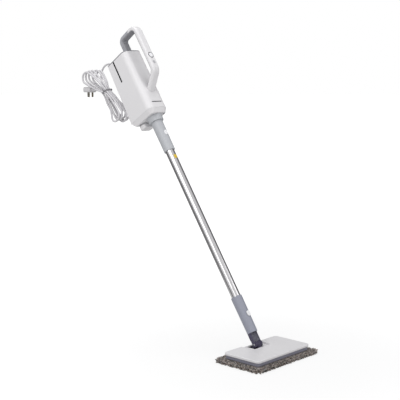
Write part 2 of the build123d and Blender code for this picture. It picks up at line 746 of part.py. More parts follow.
with BuildPart() as switch_board:
    with BuildSketch(facing_front(handle_inside, (BUTTON_HEIGHT + STEAM_BUTTON_HEIGHT) / 2)):
        Rectangle(*BOARD)
    extrude(amount=BOARD_THICK)
    for height in (BUTTON_HEIGHT, STEAM_BUTTON_HEIGHT):
        with BuildSketch(facing_front(handle_inside + BOARD_THICK, height)):
            Rectangle(6, 6)
        extrude(amount=switch_high)
save(switch_board.part, "switch_board")

# ================================================================== water tank, behind the middle
TANK_HALF = 38.2
TANK_REAR = 57
TANK_FRONT = -14
TANK_CORNER = 17
TANK_WALL = 2
tank_bottom = shell_bottom + 16
tank_top = shell_top - 15
tank_depth = TANK_REAR + TANK_FRONT
tank_middle = (TANK_REAR - TANK_FRONT) / 2
filler_end = body_bottom - 8
with BuildPart() as water_tank:
    with BuildSketch(pole.offset(tank_bottom)):
        with Locations((0, tank_middle)):
            RectangleRounded(2 * TANK_HALF, tank_depth, TANK_CORNER)
    extrude(amount=tank_top - tank_bottom)
    with BuildSketch(pole.offset(filler_end)):
        with Locations((0, FILLER_REAR)):
            RectangleRounded(FILLER_WIDTH, FILLER_DEPTH, 5)
    extrude(amount=tank_bottom - filler_end)
    with BuildSketch(pole.offset(tank_bottom + TANK_WALL)):
        with Locations((0, tank_middle)):
            RectangleRounded(
                2 * (TANK_HALF - TANK_WALL), tank_depth - 2 * TANK_WALL, TANK_CORNER - TANK_WALL
            )
    extrude(amount=tank_top - tank_bottom - 2 * TANK_WALL, mode=Mode.SUBTRACT)
    with BuildSketch(pole.offset(filler_end)):
        with Locations((0, FILLER_REAR)):
            RectangleRounded(FILLER_WIDTH - 2 * TANK_WALL, FILLER_DEPTH - 2 * TANK_WALL, 3)
    extrude(amount=tank_bottom + 2 * TANK_WALL - filler_end, mode=Mode.SUBTRACT)
save(water_tank.part, "water_tank")

CAP_HEIGHT = 15
cap_top = body_bottom - SCREW_HEAD - 2 * GAP
with BuildPart() as tank_cap:
    with BuildSketch(pole.offset(cap_top - CAP_HEIGHT)):
        with Locations((0, CAP_REAR)):
            RectangleRounded(CAP_WIDTH, CAP_DEPTH, 11)
    extrude(amount=CAP_HEIGHT)
    fillet(tank_cap.faces().sort_by(pole_axis)[0].edges(), 3)
    with BuildSketch(pole.offset(filler_end - 3)):
        with Locations((0, FILLER_REAR)):
            RectangleRounded(FILLER_WIDTH + 2 * GAP, FILLER_DEPTH + 2 * GAP, 5)
    extrude(amount=CAP_HEIGHT, mode=Mode.SUBTRACT)
save(tank_cap.part, "tank_cap")

with BuildPart() as cap_seal:
    with BuildSketch(pole.offset(filler_end - 3)):
        with Locations((0, FILLER_REAR)):
            RectangleRounded(FILLER_WIDTH, FILLER_DEPTH, 5)
            RectangleRounded(FILLER_WIDTH - 8, FILLER_DEPTH - 8, 2, mode=Mode.SUBTRACT)
    extrude(amount=3 - GAP)
save(cap_seal.part, "cap_seal")

# ================================================================== steam making parts, in front
BOILER_FRONT = 11
BOILER_R = 17
boiler_bottom = shell_bottom + 30
BOILER_HEIGHT = 105
BOILER_LID = 10
boiler_top = boiler_bottom + BOILER_HEIGHT
lid_top = boiler_top + BOILER_LID
with BuildPart() as boiler:
    with BuildSketch(pole.offset(boiler_bottom)):
        with Locations((0, -BOILER_FRONT)):
            Circle(BOILER_R)
    extrude(amount=BOILER_HEIGHT)
    with BuildSketch(pole.offset(boiler_bottom + 4)):
        with Locations((0, -BOILER_FRONT)):
            Circle(BOILER_R - 4)
    extrude(amount=BOILER_HEIGHT, mode=Mode.SUBTRACT)
save(boiler.part, "boiler")

with BuildPart() as boiler_lid:
    with BuildSketch(pole.offset(boiler_top)):
        with Locations((0, -BOILER_FRONT)):
            Circle(BOILER_R)
    extrude(amount=BOILER_LID)
save(boiler_lid.part, "boiler_lid")

ELEMENT_R = 3.2
boiler_axis = Axis(spot(BOILER_FRONT, 0), up_pole)
with BuildPart() as heating_element:
    with BuildSketch(profile):
        with Locations(*[(BOILER_FRONT - BOILER_R - ELEMENT_R, boiler_bottom + rise) for rise in (25, 45)]):
            Circle(ELEMENT_R)
    revolve(axis=boiler_axis)
save(heating_element.part, "heating_element")

with BuildPart() as thermostat:
    with BuildSketch(pole.offset(lid_top)):
        with Locations((0, -BOILER_FRONT + 8)):
            Circle(6)
    extrude(amount=7)
save(thermostat.part, "thermostat")

PUMP_R = 13
PUMP_HEIGHT = 46
shelf_bottom = lid_top + 14
SHELF = 2
pump_top = shelf_bottom + SHELF + PUMP_HEIGHT
with BuildPart() as pump_shelf:
    add(body_prism(shelf_bottom, shelf_bottom + SHELF, WALL + FIT))
    with BuildSketch(pole.offset(shelf_bottom)):
        with Locations((0, tank_middle + 12 - FIT)):
            Rectangle(120, tank_depth + 24 + 2 * GAP)
        with Locations((0, -BOILER_FRONT - 6)):
            Circle(STEAM_PIPE_R + FIT)
    extrude(amount=SHELF, mode=Mode.SUBTRACT)
save(pump_shelf.part, "pump_shelf")

with BuildPart() as pump:
    with BuildSketch(pole.offset(shelf_bottom + SHELF)):
        with Locations((0, -BOILER_FRONT)):
            Circle(PUMP_R)
    extrude(amount=PUMP_HEIGHT)
save(pump.part, "pump")

with BuildPart() as pump_hose:
    with BuildSketch(pole.offset(lid_top)):
        with Locations((0, -BOILER_FRONT - 6)):
            Circle(STEAM_PIPE_R)
            Circle(STEAM_PIPE_R - 1.2, mode=Mode.SUBTRACT)
    extrude(amount=shelf_bottom + SHELF - lid_top)
save(pump_hose.part, "pump_hose")

HOSE_R = 2.6
hose_high = (tank_top + shell_top - RIM) / 2
with BuildPart() as inlet_hose:
    with BuildLine(profile) as hose_line:
        FilletPolyline(
            (-30, tank_top), (-30, hose_high), (BOILER_FRONT, hose_high), (BOILER_FRONT, pump_top), radius=5
        )
    with BuildSketch(Plane(origin=hose_line.line @ 0, x_dir=sideways, z_dir=hose_line.line % 0)):
        Circle(HOSE_R)
        Circle(HOSE_R - 1, mode=Mode.SUBTRACT)
    sweep(path=hose_line.line)
save(inlet_hose.part, "inlet_hose")

# The steam outlet runs down from the boiler through the neck to the tube's upper plug.
with BuildPart() as steam_outlet:
    revolve(
        turned(
            (1.6, tube_top - SPIGOT_REACH),
            (STEAM_PIPE_R, tube_top - SPIGOT_REACH),
            (STEAM_PIPE_R, button_zone_top),
            (9, button_zone_top),
            (9, button_zone_top + 3),
            (STEAM_PIPE_R, button_zone_top + 3),
            (STEAM_PIPE_R, boiler_bottom),
            (1.6, boiler_bottom),
        ),
        axis=pole_axis,
    )
save(steam_outlet.part, "steam_outlet")

# The control board stands on spacers on the casing's side wall.
BOARD_SIDE = 33
board_plane = Plane(origin=spot(12, boiler_bottom + 60, BOARD_SIDE), x_dir=forward, z_dir=(1, 0, 0))
with BuildPart() as control_board:
    with BuildSketch(board_plane):
        Rectangle(34, 80)
    extrude(amount=1.6)
    with BuildSketch(board_plane):
        with Locations((0, 0)):
            Rectangle(16, 20)
    extrude(amount=-5)
    with BuildSketch(board_plane):
        with GridLocations(20, 66, 2, 2):
            Circle(2.5)
    extrude(amount=5.4)
save(control_board.part, "control_board")

# ================================================================== mains cord
GLAND_ANGLE = 60  # from straight back towards straight up
gland_dir = forward * -cos(radians(GLAND_ANGLE)) + up_pole * sin(radians(GLAND_ANGLE))
GLAND_LENGTH = 30
gland_root = spot(-59, body_top - 16)
gland_plane = Plane(origin=gland_root, x_dir=sideways, z_dir=gland_dir)
with BuildPart() as cord_gland:
    with BuildSketch(gland_plane):
        Circle(CORD_R + 3)
    with BuildSketch(gland_plane.offset(GLAND_LENGTH)):
        Circle(CORD_R + 0.8)
    loft()
    with BuildSketch(gland_plane.offset(-12)):
        Circle(CORD_R + 3)
    extrude(amount=12)
    add(casing_outside, mode=Mode.SUBTRACT)
    with BuildSketch(Plane(origin=spot(-61, body_top - 18), x_dir=sideways, z_dir=forward * -1)):
        RectangleRounded(18, 16, 4)
    extrude(amount=1.5, both=True)
    add(casing_outside, mode=Mode.SUBTRACT)
save(cord_gland.part.solids().sort_by(SortBy.VOLUME)[-1], "cord_gland")

# (front, height, side) points of the lead from the gland to the hank, and of the tail to the plug.
gland_end = gland_plane.from_local_coords((0, 0, GLAND_LENGTH))
TOP = body_top
lead_points = [gland_end, gland_end + gland_dir * 16] + [
    spot(front, TOP + rise, side)
    for front, rise, side in (
        (-97, 32.5, -2),
        (-115.5, 33, -4),
        (-133, 23.5, -6),
        (-143.5, 6.5, -9),
        (-145, -13.5, -12),
        (-137.3, -32, -15),
        (-124, -47, -18),
        (-115.3, -65, -21),
        (-110.8, -86.5, -23),
    )
]
tail_points = [
    spot(front, TOP + rise, side)
    for front, rise, side in (
        (-154, -35.4, -40),
        (-143, -42.6, -40),
        (-136.3, -59, -39),
        (-134, -80, -39),
        (-137, -100, -39),
        (-135.5, -119, -39),
        (-131.5, -133, -38),
    )
]


def cord_route(points):
    """Straight runs between the points, joined by the largest arcs that the runs allow."""
    radii = []
    for before, here, after in zip(points, points[1:], points[2:]):
        turn = (here - before).get_angle(after - here)
        shorter = min((here - before).length, (after - here).length)
        radii.append(0.45 * shorter / tan(radians(turn / 2)))
    return radii


for name, points in (("cord_lead", lead_points), ("cord_tail", tail_points)):
    radii = cord_route(points)
    with BuildPart() as cord_tube:
        with BuildLine() as route:
            FilletPolyline(*points, radius=radii)
        with BuildSketch(Plane(origin=route.line @ 0, z_dir=route.line % 0)):
            Circle(CORD_R)
        sweep(path=route.line)
    length = sum(edge.length for edge in route.line.edges())
    expected = pi * CORD_R**2 * length
    print(name, "radii", [round(radius, 1) for radius in radii])
    print(name, "length", round(length), "volume share", round(cord_tube.part.volume / expected, 4))
    save(cord_tube.part, name)

# The hank: the folded cord, tied round its waist, thicker below where the lead runs in.
HANK_NEAR = -50
HANK_UPPER_FAR = -29
HANK_LOWER_FAR = -17


def hank_outline(points, near, far):
    """One part of the hank: an outline of (front, rise above the body's top) between two sides."""
    with BuildPart() as made:
        with BuildSketch(Plane(origin=spot(0, TOP, -near), x_dir=forward, z_dir=(-1, 0, 0))) as face:
            with BuildLine():
                Polyline(*points, close=True)
            make_face()
        extrude(amount=far - near)
    return made.part


lead_end = lead_points[-1]
lead_down = (lead_points[-1] - lead_points[-2]).normalized()
tail_end = tail_points[-1]
tail_down = (tail_points[-1] - tail_points[-2]).normalized()
with BuildPart() as cord_hank:
    add(
        hank_outline(
            (
                (-104, -92), (-103, -62), (-108, -20), (-122, 12), (-152, 28), (-180, 38), (-194, 30),
                (-190, 16), (-143, -14), (-125, -46), (-125, -92),
            ),
            -HANK_UPPER_FAR,
            -HANK_NEAR,
        )
    )
    add(
        hank_outline(
            (
                (-84, -84), (-79, -140), (-78, -182), (-88, -194), (-108, -188), (-120, -176),
                (-127, -150), (-121, -132), (-121, -84),
            ),
            -HANK_LOWER_FAR,
            -HANK_NEAR,
        )
    )
    for end, down in ((lead_end, lead_down), (tail_end, tail_down)):
        with BuildSketch(Plane(origin=end + down * 14, z_dir=down * -1)):
            Circle(CORD_R + 1.5)
        extrude(amount=14)
        with BuildSketch(Plane(origin=end, z_dir=down * -1)):
            Circle(CORD_R + 1.5)
        extrude(amount=20, mode=Mode.SUBTRACT)
save(cord_hank.part, "cord_hank")

TIE_WALL = 1.5
HANK_WAIST = 22.6
tie_plane = Plane(origin=spot(-114.1, TOP - 66, (HANK_NEAR + HANK_UPPER_FAR) / 2), x_dir=sideways, z_dir=up_pole)
with BuildPart() as cord_tie:
    with BuildSketch(tie_plane.offset(-2.5)):
        Rectangle(HANK_UPPER_FAR - HANK_NEAR + 2 * TIE_WALL, HANK_WAIST + 2 * TIE_WALL)
        Rectangle(HANK_UPPER_FAR - HANK_NEAR + 2 * FIT, HANK_WAIST, mode=Mode.SUBTRACT)
    extrude(amount=5)
save(cord_tie.part, "cord_tie")

# The mains plug lies level, with its pins pointing down and its lead leaving towards the front.
PLUG_BODY = (30, 34, 18)
PLUG_BOOT = 22
plug_front = tail_points[0]
with BuildPart() as plug_body:
    with BuildSketch(Plane(origin=plug_front + Vector(0, PLUG_BOOT, 0), x_dir=(1, 0, 0), z_dir=(0, 1, 0))):
        RectangleRounded(PLUG_BODY[0], PLUG_BODY[2], 6)
    extrude(amount=PLUG_BODY[1])
    boot_back = Plane(origin=plug_front + Vector(0, PLUG_BOOT, 0), x_dir=(1, 0, 0), z_dir=(0, -1, 0))
    with BuildSketch(boot_back):
        Circle(CORD_R + 3)
    with BuildSketch(boot_back.offset(PLUG_BOOT)):
        Circle(CORD_R + 0.8)
    loft()
save(plug_body.part, "plug_body")

PIN = (6.3, 1.6)
PIN_LENGTH = 17
pins_plane = Plane(origin=plug_front + Vector(0, PLUG_BOOT + PLUG_BODY[1] / 2, -PLUG_BODY[2] / 2))
with BuildPart() as plug_pins:
    with BuildSketch(pins_plane):
        with Locations((0, 9)):
            Rectangle(PIN[1], PIN[0])
        with Locations((-7, -6)):
            Rectangle(PIN[1], PIN[0], rotation=-30)
        with Locations((7, -6)):
            Rectangle(PIN[1], PIN[0], rotation=30)
    extrude(amount=-PIN_LENGTH)
save(plug_pins.part, "plug_pins")
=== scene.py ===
import math
import random

import bmesh
import bpy
from mathutils import Matrix, Vector, noise


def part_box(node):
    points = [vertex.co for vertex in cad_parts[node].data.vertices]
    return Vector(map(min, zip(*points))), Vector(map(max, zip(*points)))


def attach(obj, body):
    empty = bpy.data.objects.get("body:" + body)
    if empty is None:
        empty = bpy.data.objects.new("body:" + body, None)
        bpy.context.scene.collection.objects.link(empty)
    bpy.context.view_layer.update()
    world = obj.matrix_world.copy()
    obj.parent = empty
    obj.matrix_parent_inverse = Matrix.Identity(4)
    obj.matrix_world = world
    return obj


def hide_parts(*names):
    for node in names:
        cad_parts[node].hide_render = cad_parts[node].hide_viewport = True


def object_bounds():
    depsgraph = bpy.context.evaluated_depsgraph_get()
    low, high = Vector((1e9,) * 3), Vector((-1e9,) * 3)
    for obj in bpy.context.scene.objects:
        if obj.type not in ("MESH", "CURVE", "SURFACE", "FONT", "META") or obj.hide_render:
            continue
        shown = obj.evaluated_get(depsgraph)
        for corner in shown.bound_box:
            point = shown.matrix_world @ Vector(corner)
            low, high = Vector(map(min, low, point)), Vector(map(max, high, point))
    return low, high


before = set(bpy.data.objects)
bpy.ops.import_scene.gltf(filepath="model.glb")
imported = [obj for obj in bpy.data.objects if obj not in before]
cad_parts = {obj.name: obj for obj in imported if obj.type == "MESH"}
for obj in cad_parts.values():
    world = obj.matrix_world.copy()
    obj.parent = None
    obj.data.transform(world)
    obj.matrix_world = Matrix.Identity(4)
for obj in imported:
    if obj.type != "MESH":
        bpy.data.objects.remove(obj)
cad_low, cad_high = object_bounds()

# ---------------------------------------------------------------- studio
# A pale floor with soft light from both sides and a long lens at standing height.
# The mop stands on the floor on its pad, so the floor's height is the pad's underside.
pad_low, pad_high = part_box("mop_pad")
stand = Vector(((pad_low.x + pad_high.x) / 2, (pad_low.y + pad_high.y) / 2, pad_low.z))

camera = bpy.data.objects.new("camera", bpy.data.cameras.new("camera"))
bpy.context.scene.collection.objects.link(camera)
camera.data.sensor_width = 36
camera.data.lens = 85.2
camera.data.clip_start = 0.1
camera.data.clip_end = 100
eye = Vector((-2.207, -1.780, 0.882))
look = Vector((0.7235, 0.6766, -0.1368)).normalized()
right = look.cross(Vector((0, 0, 1))).normalized()
above = right.cross(look)
turned = Matrix((right, above, -look)).transposed().to_4x4()
camera.matrix_world = Matrix.Translation(stand + eye) @ turned
bpy.context.scene.camera = camera
bpy.context.scene.view_settings.view_transform = "Standard"
bpy.context.scene.view_settings.look = "None"


def new_paint(name):
    """An empty material, with its node tree and its shader."""
    paint = bpy.data.materials.new(name)
    paint.use_nodes = True
    return paint, paint.node_tree, paint.node_tree.nodes["Principled BSDF"]


def node_in(tree, kind, links=(), **settings):
    """A node of that kind in the tree, with its sockets set by name and its inputs linked."""
    made = tree.nodes.new(kind)
    for name, value in settings.items():
        if hasattr(made, name):
            setattr(made, name, value)
        else:
            made.inputs[name.replace("_", " ")].default_value = value
    for source, target in links:
        tree.links.new(source, made.inputs[target])
    return made


def ramp_in(tree, source, stops, blend="LINEAR"):
    """A colour ramp that source drives, with a place and a colour for each stop."""
    made = node_in(tree, "ShaderNodeValToRGB", [(source, "Fac")])
    made.color_ramp.interpolation = blend
    elements = made.color_ramp.elements
    elements[0].position, elements[1].position = stops[0][0], stops[-1][0]
    for place, _ in stops[1:-1]:
        elements.new(place)
    for element, (_, colour) in zip(elements, stops):
        element.color = (*colour, 1)
    return made


floor_radius = 30
floor_mesh = bpy.data.meshes.new("floor")
floor_form = bmesh.new()
bmesh.ops.create_circle(floor_form, cap_ends=True, segments=96, radius=floor_radius)
floor_form.to_mesh(floor_mesh)
floor_form.free()
floor = bpy.data.objects.new("floor", floor_mesh)
floor.location = stand
bpy.context.scene.collection.objects.link(floor)
# The floor glows pale, a little less near the mop. The camera sees all of that glow and the
# undersides get a share of it. Polished metal mirrors it only close to the mop, which leaves
# the tube its dark edges.
floor_paint, floor_tree, floor_shader = new_paint("pale_floor")
floor_shader.inputs["Base Color"].default_value = (0.24, 0.24, 0.24, 1)
floor_shader.inputs["Roughness"].default_value = 0.9
floor_shader.inputs["Specular IOR Level"].default_value = 0.1
underside_share = 0.62
floor_place = node_in(floor_tree, "ShaderNodeTexCoord")
floor_reach = node_in(
    floor_tree, "ShaderNodeVectorMath", [(floor_place.outputs["Object"], 0)], operation="LENGTH"
)
floor_fade = node_in(
    floor_tree, "ShaderNodeMapRange", [(floor_reach.outputs["Value"], "Value")],
    interpolation_type="SMOOTHSTEP", From_Min=0.15, From_Max=1.6, To_Min=0.74,
)
floor_near = node_in(
    floor_tree, "ShaderNodeMapRange", [(floor_reach.outputs["Value"], "Value")],
    interpolation_type="SMOOTHSTEP", From_Min=0.3, From_Max=1.0, To_Min=underside_share, To_Max=0,
)
floor_seen = node_in(floor_tree, "ShaderNodeLightPath")
floor_glow = node_in(
    floor_tree, "ShaderNodeMath",
    [(floor_seen.outputs["Is Diffuse Ray"], 0), (floor_seen.outputs["Is Camera Ray"], 2)],
    operation="MULTIPLY_ADD",
)
floor_glow.inputs[1].default_value = underside_share
floor_shine = node_in(
    floor_tree, "ShaderNodeMath",
    [
        (floor_seen.outputs["Is Glossy Ray"], 0),
        (floor_near.outputs["Result"], 1),
        (floor_glow.outputs[0], 2),
    ],
    operation="MULTIPLY_ADD",
)
floor_tree.links.new(floor_fade.outputs["Result"], floor_shader.inputs["Emission Color"])
floor_tree.links.new(floor_shine.outputs[0], floor_shader.inputs["Emission Strength"])
floor_mesh.materials.append(floor_paint)

# The room is white in front and behind, with darker flags at the sides of the backdrop,
# which give polished metal its dark edges.
room = bpy.data.worlds.new("room")
bpy.context.scene.world = room
room.use_nodes = True
room_tree = room.node_tree
room_tree.nodes.clear()
room_way = node_in(room_tree, "ShaderNodeTexCoord")
room_turn = node_in(
    room_tree, "ShaderNodeMapping", [(room_way.outputs["Generated"], "Vector")],
    vector_type="POINT", Rotation=(0, 0, -math.atan2(look.y, look.x)),
)
room_split = node_in(room_tree, "ShaderNodeSeparateXYZ", [(room_turn.outputs["Vector"], "Vector")])
room_range = node_in(
    room_tree, "ShaderNodeMapRange", [(room_split.outputs["X"], "Value")], From_Min=-1, From_Max=1
)
room_bands = ramp_in(
    room_tree, room_range.outputs["Result"],
    (
        (0.0, (1, 1, 1)),
        (0.40, (0.95, 0.95, 0.969)),
        (0.60, (0.42, 0.42, 0.4284)),
        (0.80, (0.12, 0.12, 0.1224)),
        (0.93, (0.10, 0.10, 0.102)),
        (0.975, (0.75, 0.75, 0.765)),
        (1.0, (0.9, 0.9, 0.9)),
    ),
    "EASE",
)
room_lit = node_in(
    room_tree, "ShaderNodeBackground", [(room_bands.outputs["Color"], "Color")], Strength=0.72
)
room_seen = node_in(room_tree, "ShaderNodeBackground", Color=(1, 1, 1, 1), Strength=1.0)
room_ray = node_in(room_tree, "ShaderNodeLightPath")
room_mix = node_in(
    room_tree, "ShaderNodeMixShader",
    [
        (room_ray.outputs["Is Camera Ray"], "Fac"),
        (room_lit.outputs["Background"], 1),
        (room_seen.outputs["Background"], 2),
    ],
)
node_in(room_tree, "ShaderNodeOutputWorld", [(room_mix.outputs["Shader"], "Surface")])

middle = Vector((0, (cad_low.y + cad_high.y) / 2, (cad_low.z + cad_high.z) / 2))
for name, offset, size, power in (
    ("key_light", (-2.4, -0.6, 1.7), 1.8, 21),
    ("fill_light", (1.0, -2.6, 0.9), 1.8, 11),
    ("top_light", (-0.2, 0.3, 2.6), 2.4, 36),
    ("rear_light", (1.5, 2.5, 1.0), 1.8, 9),
):
    lamp = bpy.data.objects.new(name, bpy.data.lights.new(name, "AREA"))
    lamp.data.shape = "SQUARE"
    lamp.data.size = size
    lamp.data.energy = power
    lamp.location = middle + Vector(offset)
    lamp.rotation_euler = (middle - lamp.location).to_track_quat("-Z", "Y").to_euler()
    bpy.context.scene.collection.objects.link(lamp)

# ---------------------------------------------------------------- mains cord
# The lead: a round grey flex, 6.5 mm thick, from the boot on the body's rear to a three pin plug.
# It is folded into a loose hank that a short tie holds round its waist.
lean = math.radians(33.4)  # the pole's lean from upright
origin_front, origin_drop = 92.5, 35  # mm: the frame's origin, ahead of the pole and under the lid
up_pole = Vector((0, math.sin(lean), math.cos(lean)))
forward = Vector((0, -math.cos(lean), math.sin(lean)))


def behind_body(front, rise, side):
    """The point so many mm in front of the pole's axis, above the lid, and to the side."""
    ahead, aloft = front - origin_front, rise + origin_drop
    return (Vector((side, 0, 0)) + forward * ahead + up_pole * aloft) / 1000


boot_way = forward * -0.5 + up_pole * math.sin(math.radians(60))
boot_length, straight_run = 0.030, 0.016
boot_end = behind_body(-59, -16, 0) + boot_way * boot_length
lead_points = (
    (-97, 32.5, -2), (-115.5, 33, -4), (-133, 23.5, -6), (-143.5, 6.5, -9), (-145, -13.5, -12),
    (-137.3, -32, -15), (-124, -47, -18), (-115.3, -65, -21), (-110.8, -86.5, -21.5),
)
line = [boot_end, boot_end + boot_way * straight_run]
line += [behind_body(*point) for point in lead_points]

waist_front, waist_rise = -114, -66
column_gap, layer_gap, first_layer = 7, 2.7, -25.5


def waist_slot(strand):
    """Where a strand passes the tie: in one of three columns, each strand outside the last."""
    column = (strand - 1) % 3 - 1
    return column_gap * column, first_layer - layer_gap * (strand - 1)


def fold(tip, half, tip_side, first, last, first_column, last_column, first_side, last_side):
    """One fold of the hank, from the tie to its tip and back: its legs part, go round and return."""
    mouth, parting, roundness = 7, 0.42, 1.04
    first_turn, turn_step, turn_count = -12, 34, 7  # degrees round the tip
    reach = Vector((tip[0] - waist_front, tip[1] - waist_rise))
    length = reach.length
    out = reach / length
    across = Vector((out.y, -out.x))
    bend = length - half
    turn = 1 if first_column < last_column else -1
    if across.x < 0:
        across = -across
    points = []

    def put(along, offset, side):
        points.append(
            behind_body(
                waist_front + out.x * along + across.x * offset,
                waist_rise + out.y * along + across.y * offset,
                side,
            )
        )

    def part(column, side, way):
        put(parting * bend, column * 0.35 + way * half * 0.65, side * 0.55 + tip_side * 0.45)

    if first:
        put(mouth, first_column, first_side)
        part(first_column, first_side, -turn)
    for step in range(turn_count):
        angle = math.radians(first_turn + turn_step * step)
        put(
            bend + roundness * half * math.sin(angle),
            -turn * roundness * half * math.cos(angle),
            tip_side - (step - turn_count // 2) * 0.4,
        )
    if last:
        part(last_column, last_side, turn)
        put(mouth, last_column, last_side)
    return points


upper_tips = (
    ((-136, 23), 19.5), ((-147, 30), 20.5), ((-159, 35), 20), ((-168, 37), 20.5), ((-176, 38), 20)
)
lower_tips = (
    ((-99, -188), 20.5), ((-103, -178), 20), ((-98, -193), 20), ((-104, -172), 20.5),
    ((-101, -184), 20),
)
tail_points = (
    (-131.5, -133, -41), (-135.5, -119, -39), (-137, -100, -39), (-134, -80, -39),
    (-136.3, -59, -39), (-143, -42.6, -40), (-154, -35.4, -40),
)
for turn in range(len(lower_tips) + 1):
    strand = 2 * turn
    up_column, up_side = waist_slot(strand + 1)
    down_column, down_side = waist_slot(strand) if strand else (3, -21.5)
    if turn < len(lower_tips):
        tip, half = lower_tips[turn]
        if strand == 0:
            line += fold(tip, half, -19, False, True, 3, up_column, down_side, up_side)
        else:
            line += fold(
                tip, half, -19 - 6.6 * turn, True, True, down_column, up_column, down_side, up_side
            )
        tip, half = upper_tips[turn]
        next_column, next_side = waist_slot(strand + 2)
        line += fold(
            tip, half, -23 - 7.4 * turn, True, True, up_column, next_column, up_side, next_side
        )
    else:
        line += fold((-113, -184), 21, -53, True, False, 2, -30, down_side, -41)[:-1]
line += [behind_body(*point) for point in tail_points]

flex_curve = bpy.data.curves.new("mains_cord", "CURVE")
flex_curve.dimensions = "3D"
# the flex's radius is the curve's depth times the knot's radius, so each has its square root
flex_radius = 0.00325
flex_share = math.sqrt(flex_radius)
flex_curve.bevel_depth = flex_share
flex_curve.bevel_resolution = 5
flex_curve.resolution_u = 6
flex_curve.use_fill_caps = True
flex_spline = flex_curve.splines.new("NURBS")
flex_spline.points.add(len(line) - 1)
for knot, point in zip(flex_spline.points, line):
    knot.co = (*point, 1)
    knot.radius = flex_share
flex_spline.order_u = 3
flex_spline.use_endpoint_u = True
mains_cord = bpy.data.objects.new("mains_cord", flex_curve)
bpy.context.scene.collection.objects.link(mains_cord)
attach(mains_cord, "main_unit")
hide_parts("cord_lead", "cord_hank", "cord_tail")

# The boot on the body's rear, the tie and the plug are soft pale plastic with a fine mould grain.
# Each moulded piece of the mop uses this skin: faint cloudy tone, grain, softened edges.
moulded_skin = bpy.data.node_groups.new("moulded_skin", "ShaderNodeTree")
for label, kind, preset in (
    ("Colour", "NodeSocketColor", (0.8, 0.8, 0.8, 1)),
    ("Edge Colour", "NodeSocketColor", (0.9, 0.9, 0.9, 1)),
    ("Gloss", "NodeSocketFloat", 0.4),
    ("Grain", "NodeSocketFloat", 900.0),
    ("Clouds", "NodeSocketFloat", 0.04),
    ("Wear", "NodeSocketFloat", 0.3),
    ("Edge Radius", "NodeSocketFloat", 0.0008),
):
    socket = moulded_skin.interface.new_socket(name=label, in_out="INPUT", socket_type=kind)
    socket.default_value = preset
for label, kind in (
    ("Colour", "NodeSocketColor"),
    ("Roughness", "NodeSocketFloat"),
    ("Height", "NodeSocketFloat"),
    ("Normal", "NodeSocketVector"),
):
    moulded_skin.interface.new_socket(name=label, in_out="OUTPUT", socket_type=kind)

skin_in = node_in(moulded_skin, "NodeGroupInput")
skin_out = node_in(moulded_skin, "NodeGroupOutput")
skin_place = node_in(moulded_skin, "ShaderNodeTexCoord")
skin_clouds = node_in(
    moulded_skin, "ShaderNodeTexNoise", [(skin_place.outputs["Object"], "Vector")],
    Scale=14.0, Detail=3.0, Roughness=0.55,
)
skin_tone = node_in(
    moulded_skin, "ShaderNodeMath", [(skin_clouds.outputs["Fac"], 0)], operation="SUBTRACT"
)
skin_tone.inputs[1].default_value = 0.5
skin_depth = node_in(
    moulded_skin, "ShaderNodeMath",
    [(skin_tone.outputs[0], 0), (skin_in.outputs["Clouds"], 1)], operation="MULTIPLY_ADD",
)
skin_depth.inputs[2].default_value = 1.0
skin_shade = node_in(
    moulded_skin, "ShaderNodeVectorMath",
    [(skin_in.outputs["Colour"], 0), (skin_depth.outputs[0], "Scale")], operation="SCALE",
)
skin_round = node_in(
    moulded_skin, "ShaderNodeBevel", [(skin_in.outputs["Edge Radius"], "Radius")], samples=4
)
skin_flat = node_in(moulded_skin, "ShaderNodeNewGeometry")
skin_facing = node_in(
    moulded_skin, "ShaderNodeVectorMath",
    [(skin_round.outputs["Normal"], 0), (skin_flat.outputs["Normal"], 1)], operation="DOT_PRODUCT",
)
skin_edge = node_in(
    moulded_skin, "ShaderNodeMapRange", [(skin_facing.outputs["Value"], "Value")],
    interpolation_type="SMOOTHSTEP", From_Min=0.995, From_Max=0.85,
)
skin_rub = node_in(
    moulded_skin, "ShaderNodeTexNoise", [(skin_place.outputs["Object"], "Vector")],
    Scale=160.0, Detail=2.0,
)
skin_worn = node_in(
    moulded_skin, "ShaderNodeMath",
    [(skin_edge.outputs["Result"], 0), (skin_in.outputs["Wear"], 1)], operation="MULTIPLY",
)
skin_patchy = node_in(
    moulded_skin, "ShaderNodeMath",
    [(skin_worn.outputs[0], 0), (skin_rub.outputs["Fac"], 1)], operation="MULTIPLY",
)
skin_colour = node_in(moulded_skin, "ShaderNodeMix", data_type="RGBA")
moulded_skin.links.new(skin_patchy.outputs[0], skin_colour.inputs[0])
moulded_skin.links.new(skin_shade.outputs["Vector"], skin_colour.inputs[6])
moulded_skin.links.new(skin_in.outputs["Edge Colour"], skin_colour.inputs[7])
skin_rough = node_in(
    moulded_skin, "ShaderNodeMath",
    [(skin_tone.outputs[0], 0), (skin_in.outputs["Gloss"], 2)], operation="MULTIPLY_ADD",
)
skin_rough.inputs[1].default_value = 0.16
skin_grain = node_in(
    moulded_skin, "ShaderNodeTexNoise",
    [(skin_place.outputs["Object"], "Vector"), (skin_in.outputs["Grain"], "Scale")],
    Detail=2.0, Roughness=0.6,
)
for source, target in (
    (skin_colour.outputs[2], "Colour"),
    (skin_rough.outputs[0], "Roughness"),
    (skin_grain.outputs["Fac"], "Height"),
    (skin_round.outputs["Normal"], "Normal"),
):
    moulded_skin.links.new(source, skin_out.inputs[target])


